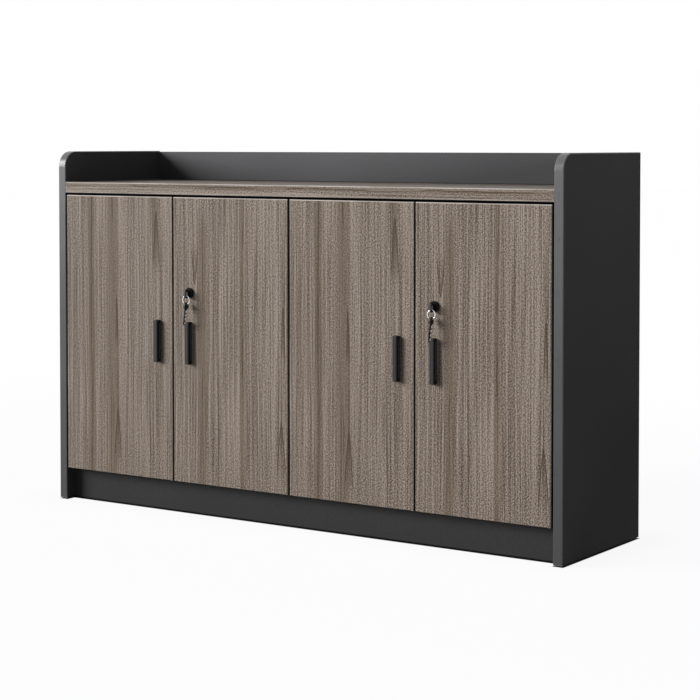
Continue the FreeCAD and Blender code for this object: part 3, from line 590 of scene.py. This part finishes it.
def flame_mark(look, across, run, flame):
    """Pointed arch where the rings surface: dark outline, one more inside and a shaded tip."""
    climb = look.math("DIVIDE", look.math("SUBTRACT", run, flame.foot), flame.height)
    narrowing = look.math("POWER", look.inverse(climb, clamp=True), FLAME_TAPER)
    half = look.product(narrowing, flame.width / 2)
    distance = look.apart(across, flame.middle)
    shade = look.total(FLAME_CORE, look.product(look.step(climb, *FLAME_TIP_CLIMB), FLAME_TIP))
    mark = look.product(look.math("LESS_THAN", distance, half), shade)
    for share, strength in FLAME_LINES:
        off = look.apart(distance, look.product(half, share))
        line = look.inverse(look.step(off, *FLAME_LINE_EDGES))
        mark = look.math("MAXIMUM", mark, look.product(line, strength))
    below_tip = look.math("LESS_THAN", climb, 1.0)
    return look.product(mark, look.step(climb, *FLAME_FOOT_CLIMB), below_tip)


def sheet_figure(look, sheet, plank, bent, run):
    """Bands of a sheet, its veins, and 1 where a vein isn't broken off."""
    bands = look.total(*[dark_band(look, bent, run, band) for band in sheet.bands])
    flames = look.total(*[flame_mark(look, bent, run, flame) for flame in sheet.flames])
    wander = look.vary(bent, look.noises(plank, WANDER), "bend")
    thin = [band._replace(width=VEIN_WIDTH) for band in sheet.bands]
    lines = look.total(*[dark_band(look, wander, run, band) for band in thin])
    whole = look.step(look.noise(plank, VEIN_BREAKS), *VEIN_BREAK_EDGES)
    veins = look.math("MAXIMUM", flames, look.product(lines, whole), clamp=True)
    return bands, veins, whole


def shade_rims(look, colour, settings, upright):
    """Painted shade: a dark strip round a door, on the edges that the gaps keep in shade, or under
    the worktop and more faintly on top of it.
    """
    _, towards, up = look.facing()
    if upright:
        rim = look.inverse(look.step(look.math("ABSOLUTE", towards), *DOOR_RIM_FACING))
    else:
        top = look.product(look.step(up, *TOP_FACING), TOP_SHADE)
        rim = look.math("MAXIMUM", look.step(up, *UNDERSIDE_FACING), top)
    return look.blend(rim, colour, settings.edge)


def highlight_rims(look, colour, settings, z, thick, whole, upright):
    """Painted highlight: a pale line along the front's upper rim, and a fainter one low on the
    worktop's front.
    """
    wear_and_highlight = look.total(LEAST_HIGHLIGHT, look.product(whole, 1.0 - LEAST_HIGHLIGHT))
    worn_and_highlight = look.product(look.step(look.facing()["Y"], *FRONT_FACING), wear_and_highlight)
    top_line = look.step(z, *[thick - below for below in TOP_LINE])
    colour = look.blend(look.product(top_line, worn_and_highlight), colour, settings.wear_and_highlight)
    if upright:
        return colour
    low_line = look.math("SUBTRACT", look.step(z, *LOW_LINE), look.step(z, *LOW_LINE_END))
    return look.blend(look.product(low_line, LOW_LINE_STRENGTH, worn_and_highlight), colour, settings.wear_and_highlight)


def grain_laminate(node, settings, sheet, upright):
    """Grey-brown wood-grain laminate with its grain upright, or else along the part's width."""
    look = Finish(node + "_laminate")
    low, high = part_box(node)
    x, y, z = look.split(look.place(low))
    run = z if upright else x
    across = look.math("ADD", x, y) if upright else look.math("ADD", y, z)
    plank = look.combine(look.math("ADD", across, sheet.seed), 0.0, run)
    bent = look.vary(across, look.noises(plank, DRIFT), "bend")
    grain = look.combine(look.math("ADD", bent, sheet.seed), 0.0, run)
    slant = look.combine(
        look.math("ADD", across, run), 0.0, look.math("SUBTRACT", across, run))
    noises = look.noises(grain, CLOUD, STRIPE, STREAK, FIBRE) | look.noises(slant, SPECKLE)
    bands, veins, whole = sheet_figure(look, sheet, plank, bent, run)
    middle = TOP_TONE
    # Painted light: the doors' tone rises with height
    if upright:
        middle = look.total(DOOR_TONE, look.product(run, DOOR_PAINTED_LIGHT_PER_METRE))
    tone = look.vary(middle, noises, "tone")
    colour = look.ramp(tone, (0.0, settings.dark), (0.5, settings.middle), (1.0, settings.light))
    in_band = look.math("MULTIPLY", bands, BAND_STRENGTH, clamp=True)
    colour = look.blend(in_band, colour, settings.band)
    colour = look.blend(look.product(veins, VEIN_STRENGTH), colour, settings.vein)
    colour = shade_rims(look, colour, settings, upright)
    look.paint(highlight_rims(look, colour, settings, z, high.z - low.z, whole, upright))
    look.roughen(settings.roughness if upright else settings.top_roughness, noises)
    look.shine(settings.gloss)
    look.emboss(noises, settings.pore_depth, look.product(veins, VEIN_RELIEF))
    return look


def charcoal_board(name, settings, colour, low, high, seam, fade=0.0):
    """Matt pearl-textured melamine, paler from one height to another as painted light, with a line of
    painted shade at a height, and painted shade towards the right by a given share.
    """
    look = Finish(name)
    place = look.place()
    x, _, z = look.split(place)
    noises = look.noises(place, PEARL, FLECK, BOARD_CLOUD)
    # Painted light: paler the higher the point
    height = look.math("DIVIDE", look.math("SUBTRACT", z, low), high - low)
    # Painted shade towards the right, for the back
    faded = look.product(look.step(x, *RIGHT_SHADE_SPAN), fade)
    tone = look.math("SUBTRACT", look.vary(height, noises, "tone"), faded)
    melamine = look.ramp(
        tone, (0.0, tint(colour, 1.0 / settings.fleck_and_painted_light)), (1.0, tint(colour, settings.fleck_and_painted_light)))
    # Painted shade line at a height, on faces that don't look backwards
    under = look.step(z, seam + SHADE_LINE_ABOVE, seam)
    over = look.step(z, *[seam - below for below in SHADE_LINE_BELOW])
    in_front = look.step(look.facing()["Y"], *SHADE_LINE_FACING)
    line = look.product(under, over, in_front, SHADE_LINE_STRENGTH)
    look.paint(look.blend(line, melamine, settings.seam))
    look.roughen(settings.roughness, noises)
    look.shine(settings.gloss)
    look.emboss(noises, settings.texture_depth)
    return look


def edge_band(settings):
    """Satin plastic strip, paler towards the top and darker near the floor as painted light and
    shade, with rubbed corners that also carry a painted highlight, and faint lines.
    """
    look = Finish("edge_band")
    place = look.place()
    noises = look.noises(place, BAND_LINES, BAND_CLOUD)
    # Painted light and shade: paler towards the top, darker near the floor
    height = look.math("DIVIDE", look.split(place)["Z"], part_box(EDGE_BANDS[0])[1].z)
    colour = look.ramp(
        look.vary(height, noises, "tone"),
        (0.0, settings.band), (0.5, settings.band_middle), (1.0, settings.band_lit_top))
    # Pale rims: wear in patches and a painted highlight
    worn_and_highlight = look.worn_and_highlight(noises[BAND_CLOUD], BAND_RUB_AND_HIGHLIGHT)
    look.paint(look.blend(worn_and_highlight, colour, tint(settings.band_lit_top, BAND_RUB_AND_HIGHLIGHT_TINT)))
    look.roughen(settings.band_roughness, noises)
    look.shine(settings.band_gloss)
    look.emboss(noises, BAND_DEPTH)
    return look


def black_coat(name, settings, colour, wear_and_highlight, gloss):
    """Satin black coat, a little paler on the edges that hands rub."""
    look = Finish(name)
    noises = look.noises(look.place(), COAT_GRIT, COAT_CLOUD)
    look.paint(look.blend(look.worn_and_highlight(noises[COAT_CLOUD], COAT_WEAR), colour, wear_and_highlight))
    look.roughen(settings.coat_roughness, noises)
    look.shine(gloss)
    look.emboss(noises, COAT_DEPTH)
    return look


def mottled(name, colour, roughness, mottle):
    """Plain surface with a fine texture, and patches that are a little paler or darker."""
    look = Finish(name)
    noises = look.noises(look.place(), mottle.fine, mottle.patches)
    patches = look.step(noises[mottle.patches], *mottle.patch_edges)
    look.paint(look.blend(patches, colour, tint(colour, mottle.patch_tint)))
    look.roughen(roughness, noises)
    look.emboss(noises, mottle.depth)
    return look


def plated_steel(settings):
    """Pressed and plated steel with faint rolling lines and dull patches."""
    look = mottled("plated_steel", settings.steel, settings.steel_roughness, STEEL)
    look.make_metal()
    return look


def bright_nickel(settings):
    """Bright nickel with fine scratches."""
    look = mottled("bright_nickel", settings.bright, settings.nickel_roughness, NICKEL)
    look.make_metal()
    return look


def moulded_plastic(name, colour, roughness):
    """Moulded plastic or soft rubber with a spark-eroded texture."""
    return mottled(name, colour, roughness, PLASTIC)


def cut_key(name, settings, ring):
    """Key blade with a painted dark reflection, bright nickel and rougher in filed marks along the
    flank of its cuts, which face the door.
    """
    look = Finish(name)
    low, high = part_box(ring)
    place = look.place((low.x, (low.y + high.y) / 2, low.z))
    _, y, z = look.split(place)
    noises = look.noises(place, SCRATCHES)
    inward = look.product(y, math.cos(settings.spare_lean))
    across = look.math("SUBTRACT", inward, look.product(z, math.sin(settings.spare_lean)))
    flank = look.step(look.vary(across, noises, "bend"), *FLANK_EDGES)
    wave = look.math("SINE", look.product(z, math.tau / MARK_PITCH))
    bare = look.product(flank, look.step(wave, *MARK_EDGES))
    # Dark everywhere as a painted reflection, except in the bright marks
    look.paint(look.blend(bare, settings.dark_reflection_steel, settings.bright))
    filed = look.product(bare, FILED_ROUGHER)
    look.roughen(look.total(settings.spare_roughness, filed), noises)
    look.make_metal()
    look.emboss(noises, SCRATCH_DEPTH)
    return look


def within(look, value, low, high, soft):
    """1 between two places on the floor and 0 outside, soft just inside them."""
    begun = look.step(value, low, low + soft)
    ended = look.step(value, high - soft, high)
    return look.math("SUBTRACT", begun, ended)


def footprint(look, place, margin, soft):
    """1 on the floor under the boards that stand on it, falling to 0 at a margin round them."""
    x, y, _ = look.split(place)
    result = 0.0
    for first, last in (*[(side, side) for side in SIDES], PLINTHS):
        low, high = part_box(first)[0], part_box(last)[1]
        along = within(look, x, low.x - margin, high.x + margin, soft)
        deep = within(look, y, low.y - margin, high.y + margin, soft)
        result = look.math("MAXIMUM", result, look.product(along, deep))
    return result


def studio_floor(settings):
    """Floor that is seen almost white, with a little of its light and shadow near the part and a
    painted contact shadow under the boards.
    """
    look = Finish("studio_floor")
    place = look.place()
    zones = (CONTACT_SHADOW_ZONE, HALO_ZONE, NEAR_ZONE)
    contact_shadow, halo, near = [footprint(look, place, *zone) for zone in zones]
    noises = look.noises(place, FLOOR_MOTTLING)
    paler = tint(settings.floor, FLOOR_TINT)
    plain = look.blend(noises[FLOOR_MOTTLING], settings.floor, paler)
    seen = look.seen()
    plain = look.blend(seen, plain, settings.shown_floor)
    # Painted contact shadow under the boards' feet
    look.paint(look.blend(contact_shadow, plain, settings.contact_shadow))
    look.roughen(settings.floor_roughness, noises)
    lit = look.total(LIT_SHARE, look.product(halo, HALO_SHARE), look.product(near, NEAR_SHARE))
    white = look.product(look.inverse(lit), look.inverse(contact_shadow))
    glow = look.add("ShaderNodeEmission")
    mix = look.add_with("ShaderNodeMixShader", [
        look.product(seen, white), look.shader.outputs["BSDF"], glow.outputs["Emission"]])
    look.join(mix.outputs["Shader"], look.output.inputs["Surface"])
    return look


class CUPBOARD_OT_finish_doors(bpy.types.Operator):
    """Wood-grain laminate on the doors, with two sheets that take turns"""
    bl_idname = "cupboard.finish_doors"
    bl_label = "Finish doors"

    def execute(self, context):
        settings = context.scene.cupboard_laminate
        for index, door in enumerate(DOORS):
            sheet = SHEETS[index % len(SHEETS)]
            grain_laminate(door, settings, sheet, upright=True).put_on(door)
        return {"FINISHED"}


class CUPBOARD_OT_finish_worktop(bpy.types.Operator):
    """Wood-grain laminate along the worktop"""
    bl_idname = "cupboard.finish_worktop"
    bl_label = "Finish worktop"

    def execute(self, context):
        settings = context.scene.cupboard_laminate
        grain_laminate("worktop", settings, TOP_SHEET, upright=False).put_on("worktop")
        return {"FINISHED"}


class CUPBOARD_OT_finish_boards(bpy.types.Operator):
    """Charcoal melamine on the carcass boards and plastic strips on their edges"""
    bl_idname = "cupboard.finish_boards"
    bl_label = "Finish boards"

    def execute(self, context):
        settings = context.scene.cupboard_board
        top, ledge = CAD_BOX[1].z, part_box("worktop")[1].z
        # Boards pale upwards as painted light, with a painted shade line at their feet
        board = charcoal_board("charcoal_board", settings, settings.board, 0.0, top, FLOOR_SHADE_LINE)
        board.put_on(*BOARDS)
        # The back pales upwards as painted light, with a painted shade line at the worktop and
        # painted shade towards its right
        back = charcoal_board(
            "back_board", settings, settings.back, ledge - BACK_MARGIN, top + BACK_MARGIN, ledge,
            BACK_RIGHT_SHADE)
        back.put_on("back_panel")
        # The plinth's darker colour is painted shade, under the doors
        plinth = charcoal_board("plinth_board", settings, settings.plinth, 0.0, top, FLOOR_SHADE_LINE)
        plinth.put_on(*PLINTHS)
        edge_band(settings).put_on(*EDGE_BANDS)
        return {"FINISHED"}


class CUPBOARD_OT_finish_fittings(bpy.types.Operator):
    """Black pulls and lock faces, steel hinges and screws, and soft buffers"""
    bl_idname = "cupboard.finish_fittings"
    bl_label = "Finish fittings"

    def execute(self, context):
        settings = context.scene.cupboard_fittings
        coat = black_coat(
            "black_coat", settings, settings.black, settings.worn_and_highlight, settings.pull_gloss)
        coat.put_on(*[door + "_handle" for door in DOORS])
        lacquer = black_coat(
            "lock_lacquer", settings, settings.lock, settings.lock_worn, settings.lock_gloss)
        lacquer.put_on(*[lock + piece for lock in LOCKS for piece in ("_housing", "_plug")])
        hinges = [door + piece for door in DOORS for piece in ("_hinge_cups", "_screws")]
        locks = [lock + piece for lock in LOCKS for piece in ("_nut", "_cam", "_cam_screw")]
        plated_steel(settings).put_on(*STEEL_FITTINGS, *hinges, *locks)
        rubber = moulded_plastic("soft_buffer", settings.buffer, settings.buffer_roughness)
        rubber.put_on("door_buffers")
        return {"FINISHED"}


class CUPBOARD_OT_finish_keys(bpy.types.Operator):
    """Bright blades and rings, dark spare keys, and black plastic on heads, glides and pads"""
    bl_idname = "cupboard.finish_keys"
    bl_label = "Finish keys"

    def execute(self, context):
        settings = context.scene.cupboard_fittings
        bright = [lock + piece for lock in LOCKS for piece in ("_key_blade", "_key_ring")]
        bright_nickel(settings).put_on(*bright)
        for lock in LOCKS:
            spare = lock + "_spare_key_blade"
            cut_key(spare, settings, lock + "_key_ring").put_on(spare)
        heads = [lock + piece for lock in LOCKS for piece in ("_key_head", "_spare_key_head")]
        plastic = moulded_plastic("black_plastic", settings.plastic, settings.plastic_roughness)
        plastic.put_on(*heads, "floor_glides", *STRIKES)
        return {"FINISHED"}


class CUPBOARD_OT_build_stage(bpy.types.Operator):
    """White floor, softbox, ambient light and the camera"""
    bl_idname = "cupboard.build_stage"
    bl_label = "Build stage"

    def execute(self, context):
        settings = context.scene.cupboard_stage
        context.scene.view_settings.view_transform = "Standard"
        self.make_floor(context.scene, settings)
        self.make_world(context.scene, settings)
        self.make_key(context.scene, settings)
        self.make_camera(context.scene, settings)
        return {"FINISHED"}

    def make_floor(self, scene, settings):
        """Plain square floor that belongs to the stage."""
        half = FLOOR_HALF
        mesh = bpy.data.meshes.new("studio_floor")
        corners = [(-half, -half, 0), (half, -half, 0), (half, half, 0), (-half, half, 0)]
        mesh.from_pydata(corners, [], [(0, 1, 2, 3)])
        mesh.materials.append(studio_floor(settings).material)
        floor = bpy.data.objects.new("studio_floor", mesh)
        scene.collection.objects.link(floor)

    def make_world(self, scene, settings):
        """White where it is seen, and a low level of light from all round elsewhere."""
        world = bpy.data.worlds.new("studio_white")
        world.use_nodes = True
        sky = Nodes(world.node_tree)
        level = sky.add("ShaderNodeMapRange")
        level.inputs["To Min"].default_value = settings.ambient_level
        level.inputs["To Max"].default_value = 1.0
        sky.join(sky.seen(), level.inputs["Value"])
        background = sky.add_with("ShaderNodeBackground", [WHITE, level.outputs["Result"]])
        output = sky.add("ShaderNodeOutputWorld")
        sky.join(background.outputs["Background"], output.inputs["Surface"])
        scene.world = world

    def make_key(self, scene, settings):
        """Softbox with the power that gives a facing white surface the key level from there."""
        low, high = CAD_BOX
        flat = math.cos(settings.key_height)
        towards = Vector((
            -math.sin(settings.key_turn) * flat, -math.cos(settings.key_turn) * flat,
            math.sin(settings.key_height)))
        light = bpy.data.lights.new("softbox", "AREA")
        light.shape = "SQUARE"
        light.size = settings.key_size
        light.energy = settings.key_level * math.pi ** 2 * settings.key_distance ** 2
        lamp = bpy.data.objects.new("softbox", light)
        lamp.location = (low + high) / 2 + towards * settings.key_distance
        lamp.rotation_euler = towards.to_track_quat("Z", "Y").to_euler()
        scene.collection.objects.link(lamp)

    def make_camera(self, scene, settings):
        """Camera at the photograph's angle."""
        data = bpy.data.cameras.new("camera")
        data.lens = settings.lens
        data.shift_y = settings.shift
        camera = bpy.data.objects.new("camera", data)
        upright = math.pi / 2 - settings.camera_tilt
        turn = Matrix.Rotation(settings.camera_turn, 4, "Z") @ Matrix.Rotation(upright, 4, "X")
        camera.matrix_world = Matrix.Translation(settings.camera_place) @ turn
        scene.collection.objects.link(camera)
        scene.camera = camera


OPERATORS = (
    CUPBOARD_OT_finish_doors,
    CUPBOARD_OT_finish_worktop,
    CUPBOARD_OT_finish_boards,
    CUPBOARD_OT_finish_fittings,
    CUPBOARD_OT_finish_keys,
    CUPBOARD_OT_build_stage,
)


class CUPBOARD_PT_finishes(bpy.types.Panel):
    """Lists the cupboard's finishes and its stage"""
    bl_label = "Gallery cupboard"
    bl_idname = "CUPBOARD_PT_finishes"
    bl_space_type = "VIEW_3D"
    bl_region_type = "UI"
    bl_category = "Cupboard"

    def draw(self, context):
        for name, group in SETTINGS.items():
            box = self.layout.box()
            box.label(text=group.__doc__)
            for setting in group.__annotations__:
                box.prop(getattr(context.scene, name), setting)
        for operator in OPERATORS:
            self.layout.operator(operator.bl_idname)


CLASSES = (*SETTINGS.values(), *OPERATORS, CUPBOARD_PT_finishes)


def register():
    for cls in CLASSES:
        bpy.utils.register_class(cls)
    for name, group in SETTINGS.items():
        setattr(bpy.types.Scene, name, bpy.props.PointerProperty(type=group))


def unregister():
    for name in SETTINGS:
        delattr(bpy.types.Scene, name)
    for cls in reversed(CLASSES):
        bpy.utils.unregister_class(cls)


def main():
    register()
    bpy.ops.cupboard.finish_doors()
    bpy.ops.cupboard.finish_worktop()
    bpy.ops.cupboard.finish_boards()
    bpy.ops.cupboard.finish_fittings()
    bpy.ops.cupboard.finish_keys()
    bpy.ops.cupboard.build_stage()


if __name__ == "__main__":
    main()
